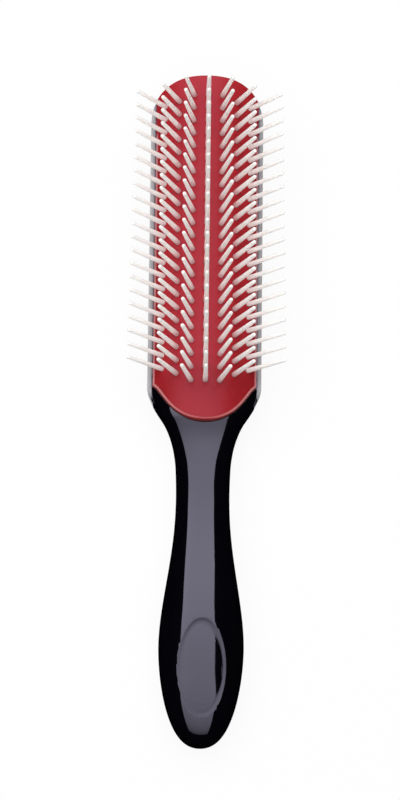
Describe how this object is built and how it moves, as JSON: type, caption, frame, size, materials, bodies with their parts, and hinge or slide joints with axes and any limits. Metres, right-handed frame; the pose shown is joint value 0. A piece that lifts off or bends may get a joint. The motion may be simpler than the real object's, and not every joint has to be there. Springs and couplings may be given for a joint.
{
  "type": "styling brush",
  "caption": "Hand-held styling brush: one-piece handle with a tray-shaped head, a slide-in rubber pad and fanned rows of nylon pins on strips.",
  "frame": {"origin": "on the surface that the brush lies on, under the middle of its bounding box", "axes": "+Y from the grip to the tip of the head, +Z out of the pad along the middle row of pins, +X to the right seen from above with the tip away"},
  "size_m": [0.0496, 0.215, 0.0357],
  "materials": {
    "handle": "glossy black moulded plastic",
    "pad": "satin red moulded rubber",
    "pins": "satin white nylon"
  },
  "bodies": {
    "handle": {"handle": "handle"},
    "pad": {"cushion_pad": "pad"},
    "pins_1": {"pin_row_1": "pins"},
    "pins_2": {"pin_row_2": "pins"},
    "pins_3": {"pin_row_3": "pins"},
    "pins_4": {"pin_row_4": "pins"},
    "pins_5": {"pin_row_5": "pins"},
    "pins_6": {"pin_row_6": "pins"},
    "pins_7": {"pin_row_7": "pins"}
  },
  "joints": [
    {"name": "pad_slide", "type": "slide", "parent": "handle", "child": "pad", "axis": [0, 1, 0], "range_m": [0, 0.095]},
    {"name": "row_1_press", "type": "slide", "parent": "pad", "child": "pins_1", "axis": [0.6018, 0, -0.7986], "range_m": [0, 0.0012], "stiffness_N_per_m": 2000},
    {"name": "row_2_press", "type": "slide", "parent": "pad", "child": "pins_2", "axis": [0.3338, 0, -0.9426], "range_m": [0, 0.0012], "stiffness_N_per_m": 2000},
    {"name": "row_3_press", "type": "slide", "parent": "pad", "child": "pins_3", "axis": [0.1779, 0, -0.984], "range_m": [0, 0.0012], "stiffness_N_per_m": 2000},
    {"name": "row_4_press", "type": "slide", "parent": "pad", "child": "pins_4", "axis": [0, 0, -1], "range_m": [0, 0.0012], "stiffness_N_per_m": 2000},
    {"name": "row_5_press", "type": "slide", "parent": "pad", "child": "pins_5", "axis": [-0.1779, 0, -0.984], "range_m": [0, 0.0012], "stiffness_N_per_m": 2000},
    {"name": "row_6_press", "type": "slide", "parent": "pad", "child": "pins_6", "axis": [-0.3338, 0, -0.9426], "range_m": [0, 0.0012], "stiffness_N_per_m": 2000},
    {"name": "row_7_press", "type": "slide", "parent": "pad", "child": "pins_7", "axis": [-0.6018, 0, -0.7986], "range_m": [0, 0.0012], "stiffness_N_per_m": 2000}
  ]
}
